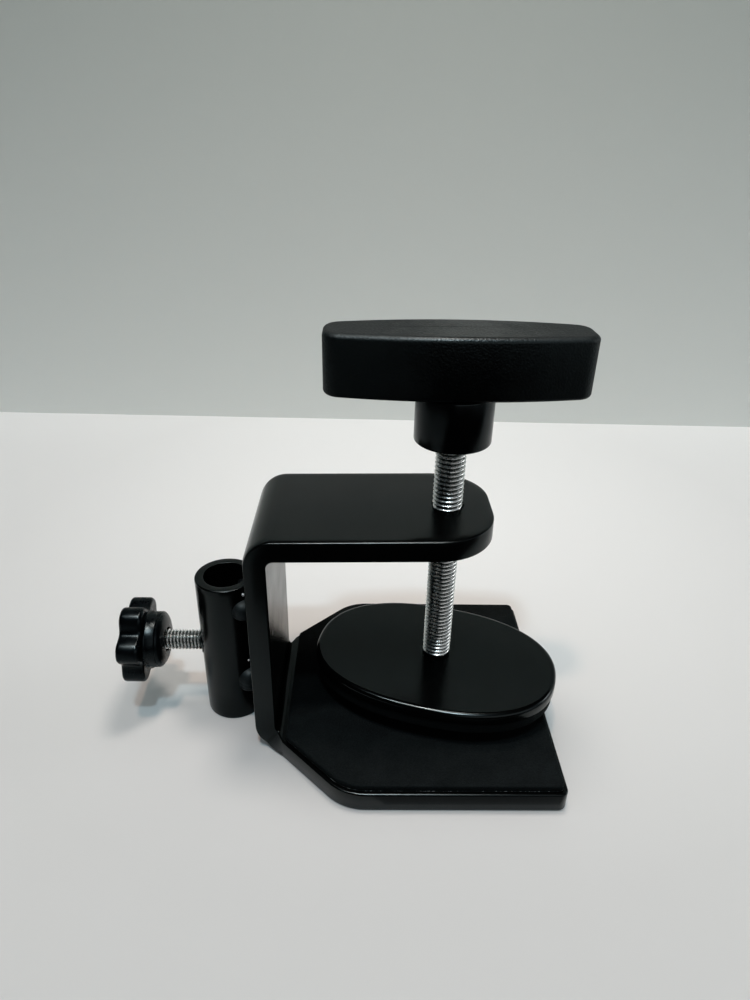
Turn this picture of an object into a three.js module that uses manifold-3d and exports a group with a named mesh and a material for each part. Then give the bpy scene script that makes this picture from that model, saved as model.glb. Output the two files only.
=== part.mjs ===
// Desk clamp for studio gear: a bent steel C bracket with a foam-faced base, a clamp screw with a bar
// handle and an oval pressure pad, and a welded socket tube with a star-knob thumb screw.
// Millimetres, +Z up. The origin is on the base's underside, on the clamp screw's axis.
// +X points from the back plate to the arm's tip.

import * as THREE from "three";
import { mergeVertices } from "three/addons/utils/BufferGeometryUtils.js";
import Module from "manifold-3d";

const wasm = await Module();
wasm.setup();

// Driving dimensions.

const STEEL = 6; // thickness of the bracket's strip
const BEND_OUTER = 8; // outer radius of both bends
const BEND_INNER = BEND_OUTER - STEEL;
const BRACKET_HEIGHT = 70; // at the arm's tip
const ARM_TILT = 0.95; // degrees that the arm rises towards its tip
const BACK_X = -52.5; // outer face of the back plate
const BAR_WIDTH = 39; // width of the back plate and the arm
const ARM_TIP_X = 11.65;
const ARM_TIP_RADIUS = 15;
const BASE_END_X = 32.3;
const BASE_WIDTH = 81;
const BASE_CORNER_RADIUS = 2.5;
const FLARE_START_X = BACK_X + 4.6; // where the base starts to widen, at 45 degrees
const FLARE_BLEND_RADIUS = 14;

const TAPE = 0.2; // adhesive tape under each foam
const BASE_FOAM = 1.8;
const BASE_FOAM_INSET = 1.2;
const BASE_FOAM_START_X = BACK_X + 9.2;
const BASE_FOAM_CORNER_RADIUS = 1.5;

const TUBE_RADIUS = 8.5;
const TUBE_BORE_RADIUS = 6;
const TUBE_BOTTOM = 0;
const TUBE_TOP = 46.7;
const TUBE_GAP = 0.1; // between the tube and the back plate
const TUBE_X = BACK_X - TUBE_GAP - TUBE_RADIUS;

const WELD_RADIUS = 3.9;
const WELD_OFFSET_X = 3.1; // from the back plate's outer face
const WELD_OFFSET_Y = 5.9; // from the middle plane
const WELDS = [
  { level: "upper", height: 39.3, halfLength: 3.8 },
  { level: "lower", height: 14, halfLength: 4.7 },
];
const WELD_GAP = 0.15;

const STUD_RADIUS = 3;
const STUD_Z = 23.5;
const STUD_TIP_BACK = 0.2; // the tip stops this far short of the tube's bore
const STUD_HEAD_RADIUS = 4.5;
const STUD_HEAD_LENGTH = 4;
const STUD_CHAMFER = 0.5;
const RUNNING_GAP = 0.08; // radial, in a bore that something turns or slides in

const KNOB_X = -91.5; // outer face of the star knob
const KNOB_THICKNESS = 6.5;
const KNOB_RADIUS = 12.3;
const KNOB_VALLEY_DEPTH = 2.7;
const KNOB_LOBES = 6;
const KNOB_EDGE = 0.9;
const KNOB_HUB_RADIUS = 8.15;
const KNOB_HUB_LENGTH = 5.2;
const KNOB_DOME_HEIGHT = 2.2; // the hub's domed end
const KNOB_DOME_STEPS = 4;
const KNOB_POCKET_GAP = 0.3; // round the stud's head
const KNOB_TURN = 14; // degrees about the stud's axis

const SCREW_RADIUS = 4;
const SCREW_SHOULDER_Z = 20.3;
const SCREW_NECK_RADIUS = 2.8;
const RIVET_BOTTOM_Z = 13.4;
const RIVET_TOP_Z = 14.4;
const RIVET_RADIUS = 4.3;
const HEX_ACROSS_FLATS = 13;
const HEX_HEIGHT = 5.3;
const HEX_GAP = 0.15; // beside the head, in the grip's pocket
const HEX_END_GAP = 0.3; // under and over the head

const HUB_RADIUS = 9.9;
const HUB_BOTTOM_Z = 88.7;
const HUB_HEIGHT = 13;
const HUB_EDGE = 0.6;
const GRIP_BOTTOM_Z = HUB_BOTTOM_Z + HUB_HEIGHT;
const GRIP_HEIGHT = 15.5;
const GRIP_HALF_LENGTH = 32.6;
const GRIP_HALF_WIDTH = 9.4;
const GRIP_SIDE_RADIUS = 160;
const GRIP_CORNER_RADIUS = 4.5;
const GRIP_EDGE = 1.5;
const HANDLE_TURN = 0.5; // degrees about the screw's axis

const PAD_TOP_Z = 20;
const PAD_PLATE = 3.5;
const PAD_FOAM = 3.3;
const PAD_HALF_LENGTH = 35.8;
const PAD_HALF_WIDTH = 23.6;
const PAD_EXPONENT = 2.28; // superellipse: 2 is an ellipse, more is squarer
const PAD_OFFSET = { x: -0.3, y: -1.3 }; // the oval's centre from the screw's axis
const PAD_TURN = -16.4; // degrees about the screw's axis
const PAD_HOLE_RADIUS = 3.3;
const PAD_FOAM_HOLE_RADIUS = 7.5;
const PAD_FOAM_INSET = 0.4;

const WASHER_RADIUS = 6;
const WASHER_BOTTOM_Z = 14.7;
const WASHER_THICKNESS = 0.9;
const WAVE_WASHER_RADIUS = 5.6;
const WAVE_WASHER_BOTTOM_Z = 15.85;
const WAVE_WASHER_THICKNESS = 0.3;
const WAVE_HEIGHT = 0.12; // half the height of its waves
const WAVES = 3;
const WAVE_WASHER_PLAY = 0.3; // radial, on the screw's neck

const ROUND_SIDES = 40;
const FINE_SIDES = 48;
const PAD_SIDES = 72;
const SIDES_PER_LOBE = 12;
const BEND_SEGMENTS = 8;
const CUT_MARGIN = 5; // how far a cutting solid reaches past what it cuts
const MERGE_DISTANCE = 1e-4;

// Materials.

const FINISHES = {
  powder_coat: { color: 0x17181a, roughness: 0.4, metalness: 0 },
  zinc: { color: 0xbfc2c4, roughness: 0.28, metalness: 1 },
  steel: { color: 0x8d8f90, roughness: 0.35, metalness: 1 },
  grained_plastic: { color: 0x141517, roughness: 0.6, metalness: 0 },
  gloss_plastic: { color: 0x0e0f10, roughness: 0.18, metalness: 0 },
  foam: { color: 0x111213, roughness: 0.95, metalness: 0 },
  tape: { color: 0xb9bab6, roughness: 0.7, metalness: 0 },
};

// Solids.

function toSolid(geometry) {
  const bare = geometry.index ? geometry.toNonIndexed() : geometry.clone();
  bare.deleteAttribute("normal");
  bare.deleteAttribute("uv");
  const merged = mergeVertices(bare, MERGE_DISTANCE);
  const mesh = new wasm.Mesh({
    numProp: 3,
    vertProperties: merged.attributes.position.array,
    triVerts: new Uint32Array(merged.index.array),
  });
  return new wasm.Manifold(mesh);
}

function toGeometry(solid) {
  const mesh = solid.getMesh();
  const geometry = new THREE.BufferGeometry();
  geometry.setAttribute("position", new THREE.BufferAttribute(mesh.vertProperties, 3));
  geometry.setIndex(new THREE.BufferAttribute(mesh.triVerts, 1));
  const flat = geometry.toNonIndexed();
  flat.computeVertexNormals();
  return flat;
}

// A shape in the XY plane, raised from z = bottom to z = top.
function prism(shape, bottom, top, curveSegments = 6) {
  const settings = { depth: top - bottom, bevelEnabled: false, curveSegments };
  return new THREE.ExtrudeGeometry(shape, settings).translate(0, 0, bottom);
}

// The same with all its edges rounded off, inside the shape's outline.
function roundedPrism(shape, bottom, top, edge, curveSegments = 6) {
  const settings = {
    depth: top - bottom - 2 * edge,
    bevelEnabled: true,
    bevelThickness: edge,
    bevelSize: edge,
    bevelOffset: -edge,
    bevelSegments: 3,
    curveSegments,
  };
  return new THREE.ExtrudeGeometry(shape, settings).translate(0, 0, bottom + edge);
}

// A solid of revolution about Z from [radius, z] corners that run from the axis at the bottom, out and up.
function turned(corners, sides = ROUND_SIDES) {
  const profile = corners.map(([radius, z]) => new THREE.Vector2(radius, z));
  return new THREE.LatheGeometry(profile, sides).rotateX(Math.PI / 2);
}

function cylinder(radius, bottom, top, sides = ROUND_SIDES) {
  return turned([[0, bottom], [radius, bottom], [radius, top], [0, top]], sides);
}

function box(low, high) {
  const size = high.map((value, i) => value - low[i]);
  const middle = high.map((value, i) => (value + low[i]) / 2);
  return new THREE.BoxGeometry(...size).translate(...middle);
}

// A closed outline through corners [x, y, radius], anticlockwise, each corner rounded by its radius.
function roundedOutline(corners) {
  const shape = new THREE.Shape();
  const count = corners.length;
  corners.forEach(([x, y, radius], i) => {
    const corner = new THREE.Vector2(x, y);
    const [lastX, lastY] = corners[(i + count - 1) % count];
    const [nextX, nextY] = corners[(i + 1) % count];
    const back = new THREE.Vector2(lastX, lastY).sub(corner).normalize();
    const ahead = new THREE.Vector2(nextX, nextY).sub(corner).normalize();
    const half = Math.acos(back.dot(ahead)) / 2;
    const start = corner.clone().addScaledVector(back, radius / Math.tan(half));
    if (i === 0) shape.moveTo(start.x, start.y);
    else shape.lineTo(start.x, start.y);
    if (radius === 0) return;
    const inward = back.clone().add(ahead).normalize();
    const centre = corner.clone().addScaledVector(inward, radius / Math.sin(half));
    const end = corner.clone().addScaledVector(ahead, radius / Math.tan(half));
    const from = start.sub(centre).angle();
    const to = end.sub(centre).angle();
    const clockwise = back.cross(ahead) > 0;
    shape.absarc(centre.x, centre.y, radius, from, to, clockwise);
  });
  shape.closePath();
  return shape;
}

function superellipse(halfLength, halfWidth, exponent, points) {
  const outline = [];
  for (let i = 0; i < points; i += 1) {
    const angle = (2 * Math.PI * i) / points;
    const across = Math.cos(angle);
    const along = Math.sin(angle);
    const x = halfLength * Math.sign(across) * Math.abs(across) ** (2 / exponent);
    const y = halfWidth * Math.sign(along) * Math.abs(along) ** (2 / exponent);
    outline.push(new THREE.Vector2(x, y));
  }
  return new THREE.Shape(outline);
}

function hexagon(acrossFlats) {
  const radius = acrossFlats / 2 / Math.cos(Math.PI / 6);
  const corners = [0, 1, 2, 3, 4, 5].map((i) => {
    const angle = (i * Math.PI) / 3;
    return new THREE.Vector2(radius * Math.cos(angle), radius * Math.sin(angle));
  });
  return new THREE.Shape(corners);
}

function roundHole(radius) {
  const hole = new THREE.Path();
  hole.absarc(0, 0, radius, 0, 2 * Math.PI, true);
  return hole;
}

function named(name, geometry, finish) {
  const material = new THREE.MeshStandardMaterial(FINISHES[finish]);
  const mesh = new THREE.Mesh(geometry, material);
  mesh.name = name;
  return mesh;
}

// C bracket: the strip's side profile, cut to the widths of the base, the back plate and the arm.

function stripProfile() {
  const tilt = THREE.MathUtils.degToRad(ARM_TILT);
  const quarter = Math.PI / 2;
  const bendX = BACK_X + BEND_OUTER;
  const run = ARM_TIP_X - bendX;
  // How far above the upper bend's centre the arm's face at radius r is at the tip.
  const tipRise = (r) => r * Math.cos(tilt) + (run + r * Math.sin(tilt)) * Math.tan(tilt);
  const upperZ = BRACKET_HEIGHT - tipRise(BEND_OUTER);
  const shape = new THREE.Shape();
  shape.moveTo(BASE_END_X, 0);
  shape.lineTo(BASE_END_X, STEEL);
  shape.lineTo(bendX, STEEL);
  shape.absarc(bendX, BEND_OUTER, BEND_INNER, 3 * quarter, 2 * quarter, true);
  shape.lineTo(BACK_X + STEEL, upperZ);
  shape.absarc(bendX, upperZ, BEND_INNER, 2 * quarter, quarter + tilt, true);
  shape.lineTo(ARM_TIP_X, upperZ + tipRise(BEND_INNER));
  shape.lineTo(ARM_TIP_X, BRACKET_HEIGHT);
  shape.lineTo(bendX - BEND_OUTER * Math.sin(tilt), upperZ + BEND_OUTER * Math.cos(tilt));
  shape.absarc(bendX, upperZ, BEND_OUTER, quarter + tilt, 2 * quarter, false);
  shape.lineTo(BACK_X, BEND_OUTER);
  shape.absarc(bendX, BEND_OUTER, BEND_OUTER, 2 * quarter, 3 * quarter, false);
  shape.closePath();
  return shape;
}

// The base's outline seen from above, moved in by inset and starting at startX.
function baseOutline(startX, inset, cornerRadius) {
  const barHalf = BAR_WIDTH / 2;
  const half = BASE_WIDTH / 2 - inset;
  const end = BASE_END_X - inset;
  const shift = inset * Math.SQRT2; // a 45 degree edge moved in by inset meets a line along X this much later
  const flareEndX = FLARE_START_X + shift + half - barHalf;
  const startsOnFlare = startX > FLARE_START_X + shift;
  const startHalf = startsOnFlare ? barHalf + startX - FLARE_START_X - shift : barHalf - inset;
  const blend = FLARE_BLEND_RADIUS - inset;
  const lower = [[startX, -startHalf, startsOnFlare ? cornerRadius : 0]];
  if (!startsOnFlare) lower.push([FLARE_START_X + shift, -startHalf, 0]);
  lower.push([flareEndX, -half, blend], [end, -half, cornerRadius]);
  const upper = lower.map(([x, y, radius]) => [x, -y, radius]).reverse();
  return roundedOutline([...lower, ...upper]);
}

function bracket() {
  const half = BAR_WIDTH / 2;
  const start = BACK_X - CUT_MARGIN;
  const top = BRACKET_HEIGHT + CUT_MARGIN;
  const strip = toSolid(prism(stripProfile(), 0, BASE_WIDTH, BEND_SEGMENTS).rotateX(Math.PI / 2));
  const centred = strip.translate([0, BASE_WIDTH / 2, 0]);
  const armCorners = [
    [start, -half, 0],
    [ARM_TIP_X, -half, ARM_TIP_RADIUS],
    [ARM_TIP_X, half, ARM_TIP_RADIUS],
    [start, half, 0],
  ];
  const baseBlock = toSolid(prism(baseOutline(start, 0, BASE_CORNER_RADIUS), -CUT_MARGIN, STEEL));
  const barBlock = toSolid(prism(roundedOutline(armCorners), STEEL, top));
  const bore = toSolid(cylinder(SCREW_RADIUS + RUNNING_GAP, BRACKET_HEIGHT / 2, top));
  return toGeometry(centred.intersect(baseBlock.add(barBlock)).subtract(bore));
}

// Base foam and its tape.

function baseLayer(bottom, top) {
  return prism(baseOutline(BASE_FOAM_START_X, BASE_FOAM_INSET, BASE_FOAM_CORNER_RADIUS), bottom, top);
}

// Socket tube with the tapped hole for the thumb stud.

function socketTube() {
  const wall = new THREE.Shape();
  wall.absarc(0, 0, TUBE_RADIUS, 0, 2 * Math.PI, false);
  wall.holes.push(roundHole(TUBE_BORE_RADIUS));
  const tube = toSolid(prism(wall, TUBE_BOTTOM, TUBE_TOP, FINE_SIDES / 2));
  const hole = cylinder(STUD_RADIUS + RUNNING_GAP, TUBE_BORE_RADIUS / 2, TUBE_RADIUS * 1.5);
  const sideways = hole.rotateY(-Math.PI / 2).translate(0, 0, STUD_Z);
  return toGeometry(tube.subtract(toSolid(sideways)).translate([TUBE_X, 0, 0]));
}

// A weld bead in the groove between tube and back plate: side is -1 or 1 along Y.
function weldBead(side, height, halfLength) {
  const around = 18;
  const bead = new THREE.SphereGeometry(1, around, (2 * around) / 3).rotateX(Math.PI / 2);
  bead.scale(WELD_RADIUS, WELD_RADIUS, halfLength);
  bead.translate(BACK_X - WELD_OFFSET_X, side * WELD_OFFSET_Y, height);
  const low = height - 2 * halfLength;
  const high = height + 2 * halfLength;
  const tube = cylinder(TUBE_RADIUS + WELD_GAP, low, high, FINE_SIDES).translate(TUBE_X, 0, 0);
  const plate = box([BACK_X - WELD_GAP, -BAR_WIDTH, low], [BACK_X + BAR_WIDTH, BAR_WIDTH, high]);
  return toGeometry(toSolid(bead).subtract(toSolid(tube)).subtract(toSolid(plate)));
}

// Thumb screw, made upright with +Z along the stud and turned to lie along +X.

function thumbStud() {
  const tip = TUBE_X - TUBE_BORE_RADIUS - STUD_TIP_BACK - KNOB_X;
  const headStart = KNOB_THICKNESS - STUD_HEAD_LENGTH;
  return turned([
    [0, headStart],
    [STUD_HEAD_RADIUS, headStart],
    [STUD_HEAD_RADIUS, headStart + STUD_HEAD_LENGTH],
    [STUD_RADIUS, headStart + STUD_HEAD_LENGTH],
    [STUD_RADIUS, tip - STUD_CHAMFER],
    [STUD_RADIUS - STUD_CHAMFER, tip],
    [0, tip],
  ]);
}

function starOutline() {
  const points = KNOB_LOBES * SIDES_PER_LOBE;
  const outline = [];
  for (let i = 0; i < points; i += 1) {
    const angle = (2 * Math.PI * i) / points;
    const valley = ((1 - Math.cos(KNOB_LOBES * angle)) / 2) ** 1.5;
    const radius = KNOB_RADIUS - KNOB_VALLEY_DEPTH * valley;
    outline.push(new THREE.Vector2(radius * Math.cos(angle), radius * Math.sin(angle)));
  }
  return new THREE.Shape(outline);
}

function starKnob() {
  const face = KNOB_THICKNESS + KNOB_HUB_LENGTH;
  const headStart = KNOB_THICKNESS - STUD_HEAD_LENGTH;
  const disc = toSolid(roundedPrism(starOutline(), 0, KNOB_THICKNESS, KNOB_EDGE));
  const hubProfile = [[0, KNOB_THICKNESS / 2], [KNOB_HUB_RADIUS, KNOB_THICKNESS / 2]];
  const domeReach = KNOB_HUB_RADIUS - STUD_RADIUS;
  for (let i = 0; i <= KNOB_DOME_STEPS; i += 1) {
    const lean = (Math.PI / 2) * (i / KNOB_DOME_STEPS);
    const radius = STUD_RADIUS + domeReach * Math.cos(lean);
    hubProfile.push([radius, face - KNOB_DOME_HEIGHT * (1 - Math.sin(lean))]);
  }
  hubProfile.push([0, face]);
  const hub = toSolid(turned(hubProfile));
  const gap = KNOB_POCKET_GAP;
  const pocket = toSolid(turned([
    [0, headStart - gap],
    [STUD_HEAD_RADIUS + gap, headStart - gap],
    [STUD_HEAD_RADIUS + gap, KNOB_THICKNESS + gap],
    [STUD_RADIUS + RUNNING_GAP, KNOB_THICKNESS + gap],
    [STUD_RADIUS + RUNNING_GAP, face + gap],
    [0, face + gap],
  ]));
  const knob = toGeometry(disc.add(hub).subtract(pocket));
  return knob.rotateZ(THREE.MathUtils.degToRad(KNOB_TURN));
}

// Clamp screw: riveted tip, neck, threaded rod and a hexagon head inside the grip.

function clampScrew() {
  const headBottom = GRIP_BOTTOM_Z + HEX_END_GAP;
  const rod = toSolid(turned([
    [0, RIVET_BOTTOM_Z],
    [RIVET_RADIUS, RIVET_BOTTOM_Z],
    [RIVET_RADIUS, RIVET_TOP_Z],
    [SCREW_NECK_RADIUS, RIVET_TOP_Z],
    [SCREW_NECK_RADIUS, SCREW_SHOULDER_Z],
    [SCREW_RADIUS, SCREW_SHOULDER_Z],
    [SCREW_RADIUS, headBottom + HEX_HEIGHT / 2],
    [0, headBottom + HEX_HEIGHT / 2],
  ]));
  const head = toSolid(prism(hexagon(HEX_ACROSS_FLATS), headBottom, headBottom + HEX_HEIGHT));
  return toGeometry(rod.add(head));
}

function handleHub() {
  const top = HUB_BOTTOM_Z + HUB_HEIGHT;
  const bore = SCREW_RADIUS + RUNNING_GAP;
  return turned([
    [bore, HUB_BOTTOM_Z],
    [HUB_RADIUS - HUB_EDGE, HUB_BOTTOM_Z],
    [HUB_RADIUS, HUB_BOTTOM_Z + HUB_EDGE],
    [HUB_RADIUS, top],
    [bore, top],
    [bore, HUB_BOTTOM_Z],
  ]);
}

// A bar with slightly bulging sides, square ends and rounded corners.
function gripOutline() {
  const bulgeCentre = GRIP_HALF_WIDTH - GRIP_SIDE_RADIUS;
  const cornerX = GRIP_HALF_LENGTH - GRIP_CORNER_RADIUS;
  const reach = GRIP_SIDE_RADIUS - GRIP_CORNER_RADIUS;
  const cornerY = bulgeCentre + Math.sqrt(reach ** 2 - cornerX ** 2);
  const lean = Math.asin(cornerX / reach);
  const quarter = Math.PI / 2;
  const shape = new THREE.Shape();
  shape.moveTo(GRIP_HALF_LENGTH, -cornerY);
  shape.lineTo(GRIP_HALF_LENGTH, cornerY);
  shape.absarc(cornerX, cornerY, GRIP_CORNER_RADIUS, 0, quarter - lean);
  shape.absarc(0, bulgeCentre, GRIP_SIDE_RADIUS, quarter - lean, quarter + lean);
  shape.absarc(-cornerX, cornerY, GRIP_CORNER_RADIUS, quarter + lean, 2 * quarter);
  shape.lineTo(-GRIP_HALF_LENGTH, -cornerY);
  shape.absarc(-cornerX, -cornerY, GRIP_CORNER_RADIUS, 2 * quarter, 3 * quarter - lean);
  shape.absarc(0, -bulgeCentre, GRIP_SIDE_RADIUS, 3 * quarter - lean, 3 * quarter + lean);
  shape.absarc(cornerX, -cornerY, GRIP_CORNER_RADIUS, 3 * quarter + lean, 4 * quarter);
  return shape;
}

function handleGrip() {
  const top = GRIP_BOTTOM_Z + GRIP_HEIGHT;
  const bar = toSolid(roundedPrism(gripOutline(), GRIP_BOTTOM_Z, top, GRIP_EDGE, 4));
  const pocketTop = GRIP_BOTTOM_Z + HEX_HEIGHT + 2 * HEX_END_GAP;
  const pocketBottom = GRIP_BOTTOM_Z - CUT_MARGIN;
  const pocket = prism(hexagon(HEX_ACROSS_FLATS + 2 * HEX_GAP), pocketBottom, pocketTop);
  return toGeometry(bar.subtract(toSolid(pocket)));
}

// Pressure pad: an oval steel plate with tape and foam under it.

function padLayer(bottom, top, inset, holeRadius) {
  const outline = superellipse(PAD_HALF_LENGTH - inset, PAD_HALF_WIDTH - inset, PAD_EXPONENT, PAD_SIDES);
  const solid = toSolid(prism(outline, bottom, top)).translate([PAD_OFFSET.x, PAD_OFFSET.y, 0]);
  const hole = toSolid(cylinder(holeRadius, bottom - CUT_MARGIN, top + CUT_MARGIN));
  return toGeometry(solid.subtract(hole));
}

function ring(innerRadius, outerRadius, bottom, top) {
  return turned([
    [innerRadius, bottom],
    [outerRadius, bottom],
    [outerRadius, top],
    [innerRadius, top],
    [innerRadius, bottom],
  ]);
}

function waveWasher() {
  const top = WAVE_WASHER_BOTTOM_Z + WAVE_WASHER_THICKNESS;
  const washer = ring(SCREW_NECK_RADIUS + WAVE_WASHER_PLAY, WAVE_WASHER_RADIUS, WAVE_WASHER_BOTTOM_Z, top);
  const position = washer.attributes.position;
  for (let i = 0; i < position.count; i += 1) {
    const angle = Math.atan2(position.getY(i), position.getX(i));
    position.setZ(i, position.getZ(i) + WAVE_HEIGHT * Math.cos(WAVES * angle));
  }
  return washer;
}

// Assembly.

const clamp = new THREE.Group();

const baseTapeTop = STEEL + TAPE;
clamp.add(named("c_bracket", bracket(), "powder_coat"));
clamp.add(named("base_foam_tape", baseLayer(STEEL, baseTapeTop), "tape"));
clamp.add(named("base_foam_pad", baseLayer(baseTapeTop, baseTapeTop + BASE_FOAM), "foam"));
clamp.add(named("socket_tube", socketTube(), "powder_coat"));
for (const { level, height, halfLength } of WELDS) {
  clamp.add(named(`weld_${level}_front`, weldBead(-1, height, halfLength), "powder_coat"));
  clamp.add(named(`weld_${level}_back`, weldBead(1, height, halfLength), "powder_coat"));
}

const thumbScrew = new THREE.Group();
thumbScrew.position.set(KNOB_X, 0, STUD_Z);
thumbScrew.rotation.y = Math.PI / 2;
thumbScrew.add(named("thumb_stud", thumbStud(), "zinc"));
thumbScrew.add(named("star_knob", starKnob(), "gloss_plastic"));
clamp.add(thumbScrew);

const screw = new THREE.Group();
screw.rotation.z = THREE.MathUtils.degToRad(HANDLE_TURN);
screw.add(named("clamp_screw", clampScrew(), "zinc"));
screw.add(named("handle_hub", handleHub(), "powder_coat"));
screw.add(named("handle_grip", handleGrip(), "grained_plastic"));
clamp.add(screw);

const washerInner = SCREW_NECK_RADIUS + RUNNING_GAP;
const washer = ring(washerInner, WASHER_RADIUS, WASHER_BOTTOM_Z, WASHER_BOTTOM_Z + WASHER_THICKNESS);
clamp.add(named("retaining_washer", washer, "steel"));
clamp.add(named("wave_washer", waveWasher(), "steel"));

const padPlateBottom = PAD_TOP_Z - PAD_PLATE;
const padTapeBottom = padPlateBottom - TAPE;
const padFoamBottom = padTapeBottom - PAD_FOAM;
const pad = new THREE.Group();
pad.rotation.z = THREE.MathUtils.degToRad(PAD_TURN);
const padPlate = padLayer(padPlateBottom, PAD_TOP_Z, 0, PAD_HOLE_RADIUS);
const padTape = padLayer(padTapeBottom, padPlateBottom, PAD_FOAM_INSET, PAD_FOAM_HOLE_RADIUS);
const padFoam = padLayer(padFoamBottom, padTapeBottom, PAD_FOAM_INSET, PAD_FOAM_HOLE_RADIUS);
pad.add(named("pressure_plate", padPlate, "powder_coat"));
pad.add(named("pad_foam_tape", padTape, "tape"));
pad.add(named("pad_foam", padFoam, "foam"));
clamp.add(pad);

export default clamp;
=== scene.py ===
"""Desk clamp for studio gear: the looks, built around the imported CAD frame.

Lengths are in millimetres until a piece's mesh is made, and the meshes are in metres.
The origin is on the base's underside, on the clamp screw's axis, with +Z up.
"""

import math

import bmesh
import bpy
import numpy as np
from mathutils import Matrix, Vector, noise


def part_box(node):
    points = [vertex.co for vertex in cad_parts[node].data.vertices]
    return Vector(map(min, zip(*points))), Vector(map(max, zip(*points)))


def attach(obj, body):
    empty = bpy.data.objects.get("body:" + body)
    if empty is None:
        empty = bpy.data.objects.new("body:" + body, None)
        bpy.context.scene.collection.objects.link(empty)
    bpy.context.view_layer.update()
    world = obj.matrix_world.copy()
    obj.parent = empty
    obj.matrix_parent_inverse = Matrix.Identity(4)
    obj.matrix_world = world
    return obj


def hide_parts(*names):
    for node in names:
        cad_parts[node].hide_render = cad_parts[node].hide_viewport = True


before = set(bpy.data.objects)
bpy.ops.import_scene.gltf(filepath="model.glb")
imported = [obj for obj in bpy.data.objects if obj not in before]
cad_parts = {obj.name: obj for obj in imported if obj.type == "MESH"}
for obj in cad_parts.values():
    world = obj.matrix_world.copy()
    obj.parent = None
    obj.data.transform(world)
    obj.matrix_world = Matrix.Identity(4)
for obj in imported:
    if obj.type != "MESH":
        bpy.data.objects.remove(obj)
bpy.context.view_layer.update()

MM = 0.001


def corners(node):
    """A CAD node's lowest and highest corner, in millimetres."""
    low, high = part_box(node)
    return np.array(low) / MM, np.array(high) / MM


# Sizes that the frame doesn't give, in millimetres.

BEND_OUTER = 8.0
BAR_WIDTH = 39.0
ARM_TIP_X = 11.65
ARM_TIP_RADIUS = 15.0
ARM_TILT = math.radians(0.95)  # the arm rises towards its tip
BEND_STEPS = 18
BASE_CORNER_RADIUS = 2.5
FLARE_START = 4.6  # from the back plate's outer face
FLARE_BLEND = 14.0  # radius where the flare meets the base's side
FLARE_FOOT = 1.5  # radius where it meets the back plate's edge
STEEL_EDGE = (0.5, 0.5)  # rounding of the bracket's edges on the jaw's side
STEEL_ROLL = (2.4, 0.5)  # and on the outer side
SCREW_RADIUS = 4.0
SCREW_PITCH = 1.25
STUD_RADIUS = 3.0
STUD_Z = 23.5
STUD_PITCH = 1.0
THREAD_DEPTH = 0.6134  # as a share of the pitch
HOLE_CLEARANCE = 0.08  # between a thread's crests and its hole
TUBE_BORE = 6.0  # radius
WELD_OUT = 3.1  # from the back plate's outer face to a bead's middle
WELD_SIDE = 5.9  # from the tube's middle to a bead's middle
WELD_RADIUS = 3.8
WELD_LENGTH = 0.88  # as a share of the CAD bead's length
COAT = 0.3  # how far the finished arm's top lies above the CAD arm's, well inside the CAD box
SUPPORT = 0.12  # width of the flat ring beside each rounded edge, which keeps the shading clean

# Sizes from the frame.

bracket_low, bracket_high = corners("c_bracket")
STEEL = corners("base_foam_tape")[0][2]  # the tape lies on the strip
BACK_X = bracket_low[0]
BASE_END = bracket_high[0]
BASE_WIDTH = bracket_high[1] - bracket_low[1]
HEIGHT = bracket_high[2] + COAT


# Camera.

CAMERA_PLACE = (-22.74, -162.63, 157.92)
CAMERA_PITCH = 28.12  # degrees below the horizontal
CAMERA_YAW = 1.2
CAMERA_ROLL = 1.21
CAMERA_LENS = 24.95


def make_camera():
    """The photograph's viewpoint. ahead, right and up are the camera's own axes in the scene."""
    pitch, yaw, roll = (math.radians(a) for a in (CAMERA_PITCH, CAMERA_YAW, CAMERA_ROLL))
    flat = math.cos(pitch)
    ahead = Vector((math.sin(yaw) * flat, math.cos(yaw) * flat, -math.sin(pitch)))
    sideways = Vector((math.cos(yaw), -math.sin(yaw), 0))
    overhead = sideways.cross(ahead)
    right = math.cos(roll) * sideways + math.sin(roll) * overhead
    up = math.cos(roll) * overhead - math.sin(roll) * sideways
    data = bpy.data.cameras.new("camera")
    data.lens = CAMERA_LENS
    data.clip_start = 0.01
    camera = bpy.data.objects.new("camera", data)
    turn = Matrix((right, up, -ahead)).transposed().to_4x4()
    camera.matrix_world = Matrix.Translation(Vector(CAMERA_PLACE) * MM) @ turn
    bpy.context.scene.collection.objects.link(camera)
    bpy.context.scene.camera = camera


# Materials.


# The picture's tone curve, as (light in the scene, light in the picture). It holds dark tones down.
TONE_CURVE = [
    (0.006, 0.0012), (0.012, 0.0042), (0.02, 0.0098), (0.035, 0.024),
    (0.06, 0.046), (0.1, 0.085), (0.3, 0.285),
]
COATED_TINT = (0.88, 1.0, 1.02, 1)  # of the reflections on everything that isn't bare metal


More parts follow.
